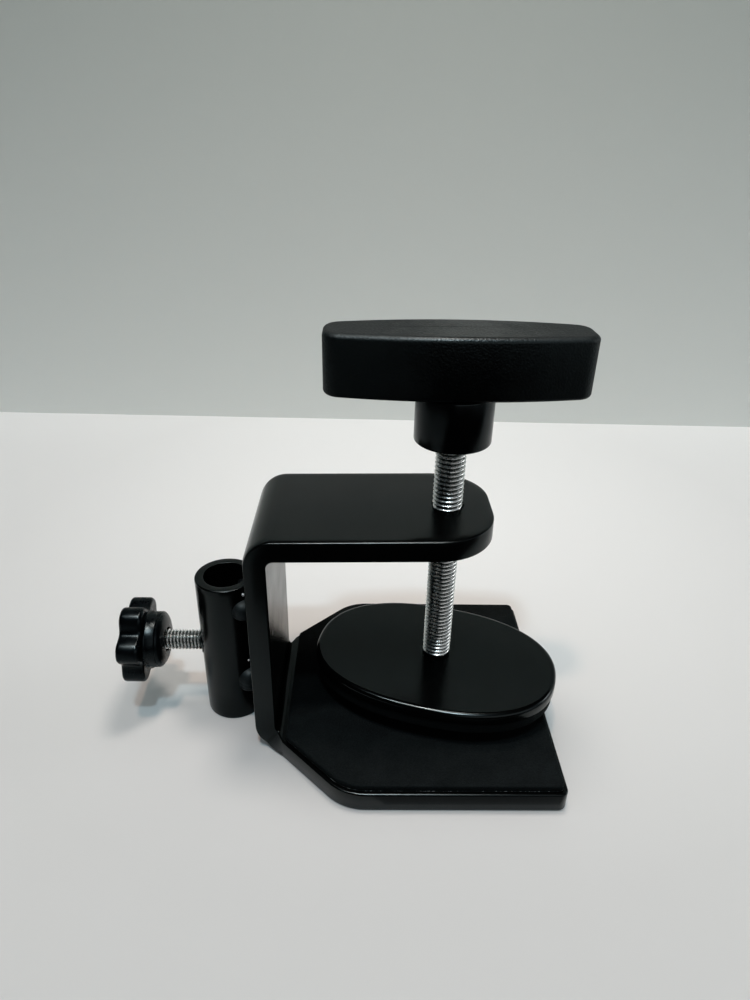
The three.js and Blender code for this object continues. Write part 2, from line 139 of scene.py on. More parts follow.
class Nodes:
    """A material's node tree, with short ways to add the textures used here."""

    def __init__(self, name, color, roughness, metallic=0.0, specular=0.5):
        self.material = bpy.data.materials.new(name)
        self.material.use_nodes = True
        self.tree = self.material.node_tree
        self.shader = self.tree.nodes["Principled BSDF"]
        self.shader.inputs["Base Color"].default_value = (*color, 1)
        self.shader.inputs["Roughness"].default_value = roughness
        self.shader.inputs["Metallic"].default_value = metallic
        self.shader.inputs["Specular IOR Level"].default_value = specular
        if metallic == 0.0:
            self.shader.inputs["Specular Tint"].default_value = COATED_TINT
        self.place = self.add("ShaderNodeTexCoord").outputs["Object"]
        self.normal = None

    def add(self, kind, **settings):
        node = self.tree.nodes.new(kind)
        for name, value in settings.items():
            setattr(node, name, value)
        return node

    def link(self, source, target):
        self.tree.links.new(source, target)

    def stretched(self, scale):
        """Object coordinates in millimetres, scaled along each axis."""
        mapping = self.add("ShaderNodeMapping")
        mapping.inputs["Scale"].default_value = [s / MM for s in scale]
        self.link(self.place, mapping.inputs["Vector"])
        return mapping.outputs["Vector"]

    def noise(self, size, detail=2.0, roughness=0.5, along=(1, 1, 1)):
        """Noise whose features are about size millimetres, from 0 to 1."""
        node = self.add("ShaderNodeTexNoise")
        node.inputs["Scale"].default_value = 1.0
        node.inputs["Detail"].default_value = detail
        node.inputs["Roughness"].default_value = roughness
        self.link(self.stretched([a / size for a in along]), node.inputs["Vector"])
        return node.outputs["Fac"]

    def cells(self, size, feature="F1"):
        node = self.add("ShaderNodeTexVoronoi", feature=feature)
        node.inputs["Scale"].default_value = 1.0
        self.link(self.stretched([1 / size] * 3), node.inputs["Vector"])
        return node.outputs["Distance"]

    def remap(self, value, low, high, to_low, to_high):
        node = self.add("ShaderNodeMapRange")
        names = ("From Min", "From Max", "To Min", "To Max")
        for name, number in zip(names, (low, high, to_low, to_high)):
            node.inputs[name].default_value = number
        self.link(value, node.inputs["Value"])
        return node.outputs["Result"]

    def maths(self, operation, a, b):
        node = self.add("ShaderNodeMath", operation=operation)
        for slot, value in zip(node.inputs, (a, b)):
            if isinstance(value, float):
                slot.default_value = value
            else:
                self.link(value, slot)
        return node.outputs["Value"]

    def color_between(self, fac, first, second):
        node = self.add("ShaderNodeMix", data_type="RGBA")
        node.inputs["A"].default_value = (*first, 1)
        node.inputs["B"].default_value = (*second, 1)
        self.link(fac, node.inputs["Factor"])
        self.link(node.outputs["Result"], self.shader.inputs["Base Color"])

    def roughness(self, value):
        self.link(value, self.shader.inputs["Roughness"])

    def bump(self, height, depth):
        """Adds relief of depth millimetres on top of the relief so far."""
        node = self.add("ShaderNodeBump")
        node.inputs["Distance"].default_value = depth * MM
        self.link(height, node.inputs["Height"])
        if self.normal is not None:
            self.link(self.normal, node.inputs["Normal"])
        self.normal = node.outputs["Normal"]
        self.link(self.normal, self.shader.inputs["Normal"])


def powder_coat(name="powder coat", roughness=0.24):
    """Black powder coat with a few fine scratches and specks of dust."""
    m = Nodes(name, (0.004, 0.004, 0.004), roughness, specular=0.33)
    mottle = m.noise(9.0, detail=3.0)
    scratch_a = m.noise(0.35, detail=1.0, along=(0.03, 1.0, 0.3))
    scratch_b = m.noise(0.5, detail=1.0, along=(1.0, 0.05, 0.05))
    first = m.remap(scratch_a, 0.74, 0.80, 0.0, 1.0)
    second = m.remap(scratch_b, 0.75, 0.80, 0.0, 1.0)
    lines = m.maths("MAXIMUM", first, second)
    worn = m.maths("MULTIPLY", lines, m.remap(m.noise(14.0), 0.52, 0.62, 0.0, 1.0))
    dust = m.remap(m.cells(2.4), 0.03, 0.055, 1.0, 0.0)
    dusty = m.maths("MULTIPLY", dust, m.remap(m.noise(7.0), 0.55, 0.65, 0.0, 1.0))
    marks = m.maths("MAXIMUM", m.maths("MULTIPLY", worn, 0.16), m.maths("MULTIPLY", dusty, 0.3))
    m.color_between(marks, (0.0036, 0.0038, 0.0037), (0.045, 0.045, 0.042))
    base = m.remap(mottle, 0.3, 0.7, roughness - 0.02, roughness + 0.03)
    m.roughness(m.maths("ADD", base, m.maths("MULTIPLY", marks, 0.3)))
    m.bump(m.noise(1.5, detail=1.0), 0.003)
    m.bump(m.noise(0.38, detail=2.0), 0.0022)
    return m.material


def hub_finish():
    m = Nodes("satin hub", (0.003, 0.003, 0.0032), 0.22, specular=0.3)
    turned = m.noise(0.25, detail=1.0, along=(0.05, 0.05, 1.0))
    m.roughness(m.remap(m.noise(3.0, detail=2.0), 0.3, 0.7, 0.19, 0.27))
    m.bump(turned, 0.0012)
    m.bump(m.noise(0.7, detail=2.0), 0.002)
    return m.material


def grained_plastic():
    """Grained plastic, smoother in the middle of the bar, where hands rub it."""
    m = Nodes("grained plastic", (0.002, 0.002, 0.002), 0.45, specular=0.39)
    m.color_between(m.noise(6.0, detail=3.0), (0.0010, 0.0013, 0.0015), (0.0020, 0.0025, 0.0029))
    apart = m.add("ShaderNodeSeparateXYZ")
    m.link(m.place, apart.inputs["Vector"])
    from_middle = m.maths("ABSOLUTE", m.maths("ADD", apart.outputs["X"], -0.003), 0.0)
    uneven = m.remap(m.noise(9.0, detail=2.0), 0.3, 0.7, -0.004, 0.004)
    handled = m.remap(m.maths("ADD", from_middle, uneven), 0.004, 0.020, 1.0, 0.0)
    fine = m.remap(m.noise(0.5, detail=2.0), 0.3, 0.7, -0.05, 0.05)
    m.roughness(m.maths("ADD", m.remap(handled, 0.0, 1.0, 0.56, 0.34), fine))
    m.bump(m.noise(5.0, detail=1.0), 0.03)
    m.bump(m.cells(0.5, "SMOOTH_F1"), 0.055)
    m.bump(m.noise(0.22, detail=2.0), 0.016)
    return m.material


def gloss_plastic():
    m = Nodes("gloss plastic", (0.0040, 0.0052, 0.0064), 0.30, specular=0.26)
    m.roughness(m.remap(m.noise(2.5, detail=3.0), 0.3, 0.7, 0.24, 0.36))
    m.bump(m.noise(3.2, detail=1.0), 0.05)
    m.bump(m.noise(0.3, detail=2.0), 0.002)
    return m.material


def plain_steel():
    m = Nodes("plain steel", (0.50, 0.50, 0.51), 0.34, metallic=1.0)
    m.color_between(m.noise(2.2, detail=4.0, roughness=0.6), (0.36, 0.36, 0.37), (0.50, 0.50, 0.51))
    m.roughness(m.remap(m.noise(0.6, detail=3.0), 0.3, 0.7, 0.30, 0.44))
    m.bump(m.noise(0.3, detail=2.0), 0.0012)
    return m.material


def zinc_plate(name, radius, pitch, across, centre):
    """Zinc plate on a thread, with painted shade: dark in the roots and light on the crests.

    across is 1 for the two axes that the thread's radius is measured along, and 0 for its own
    axis. centre is the place that it is measured from.
    """
    m = Nodes(name, (0.6, 0.6, 0.6), 0.26, metallic=0.9)
    flat = m.add("ShaderNodeVectorMath", operation="MULTIPLY")
    flat.inputs[1].default_value = across
    m.link(m.place, flat.inputs[0])
    reach = m.add("ShaderNodeVectorMath", operation="DISTANCE")
    reach.inputs[1].default_value = [c * MM for c in centre]
    m.link(flat.outputs["Vector"], reach.inputs[0])
    painted_dark_depth, painted_light_depth = 0.52, 0.14  # depths under the crests, as shares of the pitch
    root, crest = (radius - painted_dark_depth * pitch) * MM, (radius - painted_light_depth * pitch) * MM
    height = m.remap(reach.outputs["Value"], root, crest, 0.0, 1.0)
    # Painted shade: the colour is dark in the thread's roots and light on its crests.
    m.color_between(height, (0.10, 0.11, 0.105), (0.86, 0.87, 0.86))
    m.roughness(m.remap(m.noise(1.2, detail=2.0), 0.3, 0.7, 0.23, 0.31))
    m.bump(m.noise(1.5, detail=1.0), 0.002)
    return m.material


def foam_finish():
    m = Nodes("black foam", (0.010, 0.011, 0.011), 0.92, specular=0.25)
    grain = m.noise(0.28, detail=3.0, roughness=0.7)
    height = m.remap(grain, 0.35, 0.7, 0.0, 1.0)
    m.color_between(height, (0.0026, 0.0029, 0.0030), (0.0115, 0.0130, 0.0134))
    m.roughness(m.remap(m.noise(6.0, detail=2.0), 0.3, 0.7, 0.84, 0.96))
    m.bump(m.noise(4.0, detail=2.0), 0.10)
    m.bump(m.cells(0.55), 0.10)
    m.bump(grain, 0.12)
    return m.material


def tape_finish():
    m = Nodes("adhesive tape", (0.02, 0.02, 0.02), 0.5)
    specks = m.remap(m.noise(0.8, detail=3.0, roughness=0.65), 0.56, 0.66, 0.0, 1.0)
    m.color_between(specks, (0.012, 0.012, 0.012), (0.34, 0.34, 0.32))
    m.roughness(m.remap(m.noise(0.5), 0.3, 0.7, 0.4, 0.7))
    m.bump(m.noise(0.4), 0.03)
    return m.material


def weld_finish():
    m = Nodes("painted weld", (0.011, 0.013, 0.014), 0.6, specular=0.3)
    m.roughness(m.remap(m.noise(1.2, detail=3.0), 0.3, 0.7, 0.48, 0.68))
    m.bump(m.noise(1.1, detail=3.0), 0.05)
    m.bump(m.cells(0.5, "SMOOTH_F1"), 0.03)
    return m.material


# Outlines, as closed anticlockwise loops of [x, y].


def arc(centre, radius, start, end, step=6.0):
    """Points on an arc from start to end, in degrees."""
    count = max(2, int(math.ceil(abs(end - start) / step)) + 1)
    angles = np.radians(np.linspace(start, end, count))
    return np.array(centre) + radius * np.stack([np.cos(angles), np.sin(angles)], 1)


def rounded_outline(points):
    """A loop through corners (x, y, radius), each rounded by its radius."""
    loop = []
    count = len(points)
    for i, (x, y, radius) in enumerate(points):
        corner = np.array((x, y), float)
        back = np.array(points[i - 1][:2], float) - corner
        ahead = np.array(points[(i + 1) % count][:2], float) - corner
        back /= np.linalg.norm(back)
        ahead /= np.linalg.norm(ahead)
        half = math.acos(np.clip(back @ ahead, -1, 1)) / 2
        inward = (back + ahead) / np.linalg.norm(back + ahead)
        centre = corner + inward * radius / math.sin(half)
        first = corner + back * radius / math.tan(half) - centre
        last = corner + ahead * radius / math.tan(half) - centre
        start = math.degrees(math.atan2(first[1], first[0]))
        sweep = math.degrees(math.atan2(first[0] * last[1] - first[1] * last[0], first @ last))
        loop.extend(arc(centre, radius, start, start + sweep))
    return np.array(loop)


def superellipse(half_length, half_width, exponent, count):
    angle = 2 * np.pi * np.arange(count) / count
    across, along = np.cos(angle), np.sin(angle)
    x = half_length * np.sign(across) * np.abs(across) ** (2 / exponent)
    y = half_width * np.sign(along) * np.abs(along) ** (2 / exponent)
    return np.stack([x, y], 1)


def circle(radius, count, phase=0.0):
    angle = 2 * np.pi * np.arange(count) / count + phase
    return radius * np.stack([np.cos(angle), np.sin(angle)], 1)


def inset(loop, distance):
    """The loop moved inwards by distance."""
    step = np.roll(loop, -1, 0) - loop
    step /= np.linalg.norm(step, axis=1)[:, None]
    left = np.stack([-step[:, 1], step[:, 0]], 1)
    miter = left + np.roll(left, 1, 0)
    miter /= np.linalg.norm(miter, axis=1)[:, None]
    spread = np.maximum(0.4, (miter * left).sum(1))
    return loop + miter * (distance / spread)[:, None]


def edge_profile(low, high, low_round, high_round, steps=5):
    """(inset, z) pairs up the side of a plate, from low to high.

    A rounded edge is given as (how far in, how far up or down) it reaches.
    """
    (low_in, low_up), (high_in, high_down) = low_round, high_round
    turn = np.linspace(0, np.pi / 2, steps + 1)
    pairs = [(low_in + SUPPORT, low)]
    pairs += [(low_in * (1 - math.sin(a)), low + low_up * (1 - math.cos(a))) for a in turn]
    pairs += [(high_in * (1 - math.cos(a)), high - high_down * (1 - math.sin(a))) for a in turn]
    pairs.append((high_in + SUPPORT, high))
    return pairs


def raised(loop, z):
    """The loop's points at height z, which is one number or one for each point."""
    return np.column_stack([loop, np.full(len(loop), z) if np.isscalar(z) else z])


def plate_rings(loop, profile):
    return [raised(inset(loop, distance), z) for distance, z in profile]


# Meshes.


def skin(rings, ends="closed"):
    """Points and faces of a skin over rings of equally many points.

    ends is "closed" for a face at each end, "joined" for a torus, or "open".
    """
    size = len(rings[0])
    points = np.concatenate(rings)
    count = len(rings)
    faces = []
    for i in range(count if ends == "joined" else count - 1):
        a, b = i * size, ((i + 1) % count) * size
        for j in range(size):
            k = (j + 1) % size
            faces.append((a + j, a + k, b + k, b + j))
    if ends == "closed":
        faces.append(tuple(range(size - 1, -1, -1)))
        faces.append(tuple(range((count - 1) * size, count * size)))
    return points, faces


def joined(*skins):
    """Several skins as one."""
    points, faces, start = [], [], 0
    for some, more in skins:
        points.append(np.asarray(some))
        faces += [tuple(start + i for i in face) for face in more]
        start += len(some)
    return np.concatenate(points), faces


def turned(profile, count=96):
    """Rings about Z from (radius, z) pairs."""
    return [raised(circle(radius, count), z) for radius, z in profile]


def sphere(centre, radius, rows=8, columns=14):
    lean = np.linspace(0.02, np.pi - 0.02, rows)
    rings = [raised(circle(radius * math.sin(a), columns), -radius * math.cos(a)) for a in lean]
    points, faces = skin(rings)
    return points + np.array(centre), faces


def about_z(points, angle):
    """The points turned about Z by an angle."""
    c, s = math.cos(angle), math.sin(angle)
    x, y = points[:, 0], points[:, 1]
    return np.column_stack([c * x - s * y, s * x + c * y, points[:, 2]])


def make_mesh(name, points, faces, sharp=40.0):
    mesh = bpy.data.meshes.new(name)
    mesh.from_pydata((np.asarray(points) * MM).tolist(), [], faces)
    solid = bmesh.new()
    solid.from_mesh(mesh)
    bmesh.ops.remove_doubles(solid, verts=solid.verts, dist=1e-6)
    bmesh.ops.dissolve_degenerate(solid, edges=solid.edges, dist=1e-7)
    bmesh.ops.recalc_face_normals(solid, faces=solid.faces)
    solid.to_mesh(mesh)
    solid.free()
    mesh.shade_smooth()
    mesh.set_sharp_from_angle(angle=math.radians(sharp))
    return mesh


def piece(name, shape, material, body, replaces=(), sharp=40.0):
    """A finished piece: shape is (points, faces) in millimetres."""
    made = bpy.data.objects.new(name, make_mesh(name, *shape, sharp=sharp))
    bpy.context.scene.collection.objects.link(made)
    made.data.materials.append(material)
    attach(made, body)
    if replaces:
        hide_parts(*replaces)
    return made


def cut(target, shape):
    """Takes a closed shape out of a piece's mesh."""
    mesh = make_mesh("cutter", *shape)
    cutter = bpy.data.objects.new("cutter", mesh)
    bpy.context.scene.collection.objects.link(cutter)
    modifier = target.modifiers.new("cut", "BOOLEAN")
    modifier.operation = "DIFFERENCE"
    modifier.solver = "EXACT"
    modifier.object = cutter
    bpy.context.view_layer.update()
    evaluated = target.evaluated_get(bpy.context.evaluated_depsgraph_get())
    result = bpy.data.meshes.new_from_object(evaluated)
    target.modifiers.remove(modifier)
    target.data = result
    bpy.data.objects.remove(cutter)
    result.shade_smooth()
    result.set_sharp_from_angle(angle=math.radians(35))


# C bracket: a flat blank with rounded edges, bent round two corners.


def arm_run():
    """The arm's reach in X from the upper bend's end, on its outer face."""
    return ARM_TIP_X - BACK_X - BEND_OUTER + BEND_OUTER * math.sin(ARM_TILT)


def upper_bend_height():
    """Height of the upper bend's centre, from the height of the arm's tip."""
    return HEIGHT - BEND_OUTER * math.cos(ARM_TILT) - arm_run() * math.tan(ARM_TILT)


def bend_lengths():
    """Where each bend starts and ends along the blank, from the base's free end."""
    middle = BEND_OUTER - STEEL / 2
    first = BASE_END - BACK_X - BEND_OUTER
    first_end = first + middle * math.pi / 2
    second = first_end + upper_bend_height() - BEND_OUTER
    second_end = second + middle * (math.pi / 2 - ARM_TILT)
    return first, first_end, second, second_end


def blank_outline():
    """The flat blank, with X along it from the base's free end to the arm's tip."""
    first, _, _, last = bend_lengths()
    bar, half = BAR_WIDTH / 2, BASE_WIDTH / 2
    arm_end = last + arm_run() / math.cos(ARM_TILT)
    flare_start = first + BEND_OUTER - FLARE_START
    flare_end = flare_start - (half - bar)
    lower = [
        (0, -half, BASE_CORNER_RADIUS),
        (flare_end, -half, FLARE_BLEND),
        (flare_start, -bar, FLARE_FOOT),
        (arm_end, -bar, ARM_TIP_RADIUS),
    ]
    upper = [(x, -y, radius) for x, y, radius in reversed(lower)]
    return rounded_outline(lower + upper)


def bent(along, across, depth):
    """The place of a point of the blank. depth is from the strip's middle towards the jaw."""
    first, first_end, second, second_end = bend_lengths()
    middle = STEEL / 2
    reach = BEND_OUTER - middle - depth
    centre_x = BACK_X + BEND_OUTER
    if along <= first:
        return BASE_END - along, across, middle + depth
    if along < first_end:
        turn = (along - first) / (BEND_OUTER - middle)
        return centre_x - reach * math.sin(turn), across, BEND_OUTER - reach * math.cos(turn)
    if along <= second:
        return BACK_X + middle + depth, across, BEND_OUTER + along - first_end
    turn = (min(along, second_end) - second) / (BEND_OUTER - middle)
    run = max(0.0, along - second_end)
    x = centre_x - reach * math.cos(turn) + run * math.cos(ARM_TILT)
    z = upper_bend_height() + reach * math.sin(turn) + run * math.sin(ARM_TILT)
    return x, across, z


def make_bracket(material):
    """The blank, divided across at both bends, bent, and cut through for the screw."""
    profile = edge_profile(-STEEL / 2, STEEL / 2, STEEL_ROLL, STEEL_EDGE, 8)
    points, faces = skin(plate_rings(blank_outline(), profile))
    mesh = bpy.data.meshes.new("blank")
    mesh.from_pydata(points.tolist(), [], faces)
    solid = bmesh.new()
    solid.from_mesh(mesh)
    first, first_end, second, second_end = bend_lengths()
    bends = ((first, first_end), (second, second_end))
    for place in np.concatenate([np.linspace(*bend, BEND_STEPS) for bend in bends]):
        bmesh.ops.bisect_plane(
            solid,
            geom=solid.verts[:] + solid.edges[:] + solid.faces[:],
            dist=1e-4,
            plane_co=(place, 0, 0),
            plane_no=(1, 0, 0),
        )
    for vertex in solid.verts:
        vertex.co = bent(*vertex.co)
    solid.to_mesh(mesh)
    solid.free()
    places = np.array([v.co for v in mesh.vertices])
    polygons = [tuple(p.vertices) for p in mesh.polygons]
    shape = (places, polygons)
    made = piece("bracket", shape, material, "bracket", ["c_bracket"])
    lead = 0.55  # size of the bevel at the hole's ends
    wide, bore = SCREW_RADIUS + lead, SCREW_RADIUS + HOLE_CLEARANCE
    low, high = HEIGHT - STEEL, HEIGHT
    hole = [(wide + 1, low - 1), (bore, low + lead), (bore, high - lead), (wide + 1, high + 1)]
    cut(made, skin(turned(hole, 64)))


# Socket tube with a tapped hole, and the weld beads beside it.


def make_tube(material):
    """The tube, its tapped hole, and the burr round the hole as a piece of its own."""
    low, high = corners("socket_tube")
    outer = (high[1] - low[1]) / 2
    centre = (low[0] + high[0]) / 2
    bottom, top = low[2], high[2]
    outside, inside = 0.4, 0.15  # rounding of the rims
    ease = [(1 - math.sin(a), 1 - math.cos(a)) for a in np.linspace(0, np.pi / 2, 5)]
    profile = [(TUBE_BORE + inside * s, bottom + inside * c) for s, c in reversed(ease)]
    profile += [(outer - outside * s, bottom + outside * c) for s, c in ease]
    profile += [(outer, z) for z in np.linspace(bottom + 2, top - 2, 12)]
    profile += [(outer - outside * c, top - outside * s) for s, c in ease]
    profile += [(TUBE_BORE + inside * c, top - inside * s) for s, c in reversed(ease)]
    points, faces = skin(turned(profile, 96), ends="joined")
    shape = (points + np.array((centre, 0, 0)), faces)
    made = piece("socket_tube_shell", shape, material, "bracket", ["socket_tube"])
    stud_low, stud_high = corners("thumb_stud")
    stud_z = (stud_low[2] + stud_high[2]) / 2
    wide = STUD_RADIUS + HOLE_CLEARANCE
    hole = skin(turned([(wide, -outer - 2), (wide, -TUBE_BORE / 2)], 48))
    cut(made, (lying(hole[0], centre, stud_z), hole[1]))
    lip_out, lip_half, lip_rise = 0.55, 0.4, 0.32
    rim = []
    for v in np.linspace(0, 2 * np.pi, 12, endpoint=False):
        around = circle(STUD_RADIUS + lip_out + lip_half * math.cos(v), 48)
        depth = np.sqrt(np.maximum(0, outer**2 - around[:, 1] ** 2)) + lip_rise * math.sin(v)
        rim.append(np.column_stack([centre - depth, around[:, 1], stud_z + around[:, 0]]))
    lip = skin(rim, ends="joined")
    piece("tapped_hole_lip", lip, material, "bracket")


def lying(points, x, z):
    """Lays points built about Z along +X, with the axis at height z and their zero at x."""
    points = np.asarray(points)
    return np.column_stack([x + points[:, 2], points[:, 1], z - points[:, 0]])


def make_weld(node, material, seed):
    """A rippled bead in the groove between tube and back plate."""
    low, high = corners(node)
    side = 1 if low[1] > 0 else -1
    x, y, middle = BACK_X - WELD_OUT, side * WELD_SIDE, (low[2] + high[2]) / 2
    half = (high[2] - low[2]) / 2 * WELD_LENGTH
    sunk, ripple_depth, ripple_pitch, lag = 0.16, 0.025, 1.35, 0.35
    columns = 40
    angle = np.linspace(0, 2 * np.pi, columns, endpoint=False)
    rings = []
    for t in np.linspace(-0.995, 0.995, 44):
        bulge = WELD_RADIUS * (1 - abs(t) ** 2.6) ** 0.45
        z = middle + t * half
        late = lag * np.cos(angle)
        ripple = ripple_depth * np.sin((z + late * 2) * 2 * math.pi / ripple_pitch + seed)
        places = [(math.cos(a) * 0.9 + seed, math.sin(a) * 0.9, z * 0.45) for a in angle]
        wobble = np.array([0.35 * noise.noise(Vector(place)) for place in places])
        radius = bulge * (0.94 + 0.05 * wobble) - sunk + ripple * (1 - t * t)
        radius = np.maximum(radius, 0.05)
        loop = [x + radius * np.cos(angle), y + radius * np.sin(angle), np.full(columns, z)]
        rings.append(np.column_stack(loop))
    name = node.replace("weld", "bead")
    piece(name, skin(rings), material, "bracket", [node], sharp=60)


def make_spatter(material):
    """Bright drops of weld spatter stuck along the back plate's edges."""
    edge = BAR_WIDTH / 2
    drops = [
        (-edge + 0.3, 53.7, 0.42),
        (-edge + 0.2, 32.4, 0.3),
        (edge - 1.5, 46.0, 0.34),
        (edge - 3.2, 21.5, 0.28),
    ]
    shapes = [sphere((BACK_X - 0.05, y, z), size) for y, z, size in drops]
    piece("weld_spatter", joined(*shapes), material, "bracket", sharp=60)


# Threads.


def thread_rings(radius, pitch, low, high, columns):
    """Rows of a right-hand external thread about Z. Each column is a step further up the helix."""
    depth = THREAD_DEPTH * pitch
    rows = 12
    share = np.arange(rows) / rows
    form = list(zip(share, 0.5 - 0.5 * np.cos(2 * np.pi * share)))
    turns = range(-2, int((high - low) / pitch) + 3)
    angle = 2 * np.pi * np.arange(columns) / columns
    rings = []
    for turn in turns:
        for share, cutting in form:
            z = low + pitch * (turn + share + np.arange(columns) / columns)
            fade = np.minimum(z - low, high - z)
            room = np.clip(1 - fade / (depth * 0.4), 0, 1)
            r = radius - depth * np.maximum(cutting, room)
            z = np.clip(z, low, high)
            rings.append(np.column_stack([r * np.cos(angle), r * np.sin(angle), z]))
    return rings, rows


def thread(radius, pitch, low, high, columns, below=(), above=()):
    """A threaded rod with plain (radius, z) turned ends below and above it."""
    rings, per_turn = thread_rings(radius, pitch, low, high, columns)
    points = np.concatenate(rings)
    faces = []
    rows = len(rings)
    for i in range(rows - 1):
        for j in range(columns):
            if j < columns - 1:
                a, b = i * columns + j, i * columns + j + 1
                faces.append((a, b, b + columns, a + columns))
            elif i + per_turn + 1 < rows:
                a, b = i * columns + j, (i + per_turn) * columns
                faces.append((a, b, b + columns, a + columns))
    root = radius - THREAD_DEPTH * pitch
    start = skin(turned([*below, (root, low)], columns), ends="open")
    end = skin(turned([(root, high), *above], columns), ends="open")
    start[1].append(tuple(range(columns - 1, -1, -1)))
    end[1].append(tuple(range(len(end[0]) - columns, len(end[0]))))
    return joined((points, faces), start, end)


def make_screw(material):
    bottom = corners("clamp_screw")[0][2]
    hub_low, hub_high = corners("handle_hub")
    shoulder = 20.3
    neck, rivet, rivet_top, rivet_round = 2.8, 4.3, 14.4, 0.9
    thread_end = hub_low[2] + 3  # hidden in the hub
    turn = np.linspace(0.25, np.pi / 2, 7)
    dome = [(rivet * math.sin(a), bottom + rivet_round * (1 - math.cos(a))) for a in turn]
    below = [*dome, (rivet - 0.1, rivet_top), (neck, rivet_top), (neck, shoulder)]
    above = [(SCREW_RADIUS - 0.3, z) for z in (thread_end, hub_high[2] - 1)]
    shape = thread(SCREW_RADIUS, SCREW_PITCH, shoulder, thread_end, 48, below, above)
    piece("clamp_screw_thread", shape, material, "clamp_screw", ["clamp_screw"])


def make_stud(material):
    low, high = corners("thumb_stud")
    z = (low[2] + high[2]) / 2
    head_end = 4.0
    length = high[0] - low[0]
    root = STUD_RADIUS - THREAD_DEPTH * STUD_PITCH
    below = [(STUD_RADIUS, 0.2), (STUD_RADIUS, head_end), (root, head_end)]
    above = [(STUD_RADIUS - 0.9, length)]
    points, faces = thread(STUD_RADIUS, STUD_PITCH, head_end, length - 0.2, 40, below, above)
    shape = (lying(points, low[0], z), faces)
    piece("thumb_stud_thread", shape, material, "thumb_stud", ["thumb_stud"])


# Star knob.


KNOB_LOBES = 6
KNOB_TURN = math.radians(14)
KNOB_THICKNESS = 6.5


def star_outline(radius, valley, count):
    angle = 2 * np.pi * np.arange(count) / count
    dip = ((1 - np.cos(KNOB_LOBES * angle)) / 2) ** 1.5
    reach = radius - valley * dip
    return np.stack([reach * np.cos(angle + KNOB_TURN), reach * np.sin(angle + KNOB_TURN)], 1)


def make_knob(material):
    """Lobed disc with a stepped hub on the stud's side. Heights run from its outer face to the tube."""
    low, high = corners("star_knob")
    radius, valley, count = 12.3, 2.7, 216
    edge = (1.1, 1.1)
    hub, fillet, dome, mouth = 8.15, 0.6, 2.1, 3.5
    face = high[0] - low[0]
    ridge = face - dome

    def ring(reach, height):
        return raised(circle(reach, count, KNOB_TURN), height)

    dimple = [(2.2, 0.75), (4.6, 0.7), (5.2, 0.45), (5.5, 0.06), (5.9, 0)]
    outer_face = [ring(reach, height) for reach, height in dimple]
    star = star_outline(radius, valley, count)
    rings = plate_rings(star, edge_profile(0, KNOB_THICKNESS, edge, edge, 6))
    inner = [ring(hub + fillet + SUPPORT, KNOB_THICKNESS)]
    for a in np.linspace(0, np.pi / 2, 5):
        height = KNOB_THICKNESS + fillet * (1 - math.cos(a))
        inner.append(ring(hub + fillet * (1 - math.sin(a)), height))
    inner.append(ring(hub, ridge - 0.25))
    inner.append(ring(hub - 0.12, ridge - 0.08))
    for a in np.linspace(0.12, np.pi / 2, 9):
        reach = mouth + 0.25 + (hub - 0.2 - mouth) * math.cos(a)
        inner.append(ring(reach, face - dome * (1 - math.sin(a))))
    inner += [ring(mouth, face - 0.25), ring(mouth, face - 3.5)]
    points, faces = skin([*outer_face, *rings, *inner])
    shape = (lying(points, low[0], STUD_Z), faces)
    piece("star_knob_moulding", shape, material, "star_knob", ["star_knob"])


# Handle: a smooth round hub under a grained bar.


def make_hub(material):
    low, high = corners("handle_hub")
    radius = (high[0] - low[0]) / 2
    edge = 0.55
    bore = SCREW_RADIUS + 0.1
    bottom, top = low[2], high[2]
    turn = np.linspace(0, np.pi / 2, 6)
    profile = [(bore, top), (bore, bottom + 0.5), (SCREW_RADIUS + 0.6, bottom)]
    profile += [(radius - edge - SUPPORT, bottom)]
    profile += [(radius - edge * (1 - math.sin(a)), bottom + edge * (1 - math.cos(a))) for a in turn]
    profile += [(radius, top - 0.4), (radius - 0.1, top - 0.1), (radius - 0.4, top)]
    shape = skin(turned(profile, 128), ends="joined")
    piece("handle_collar", shape, material, "clamp_screw", ["handle_hub"])


HANDLE_TURN = math.radians(0.5)
GRIP_HALF_LENGTH = 32.6
GRIP_HALF_WIDTH = 9.4
GRIP_SIDE_RADIUS = 160.0
GRIP_CORNER = 4.5


def grip_outline():
    bulge = GRIP_HALF_WIDTH - GRIP_SIDE_RADIUS
    corner_x = GRIP_HALF_LENGTH - GRIP_CORNER
    reach = GRIP_SIDE_RADIUS - GRIP_CORNER
    corner_y = bulge + math.sqrt(reach**2 - corner_x**2)
    lean = math.degrees(math.asin(corner_x / reach))
    quarter = [
        arc((corner_x, corner_y), GRIP_CORNER, 0, 90 - lean),
        arc((0, bulge), GRIP_SIDE_RADIUS, 90 - lean, 90, step=0.5)[1:],
    ]
    first = np.concatenate(quarter)
    second = first[::-1][1:] * (-1, 1)
    half = np.concatenate([first, second])
    return np.concatenate([half, -half])


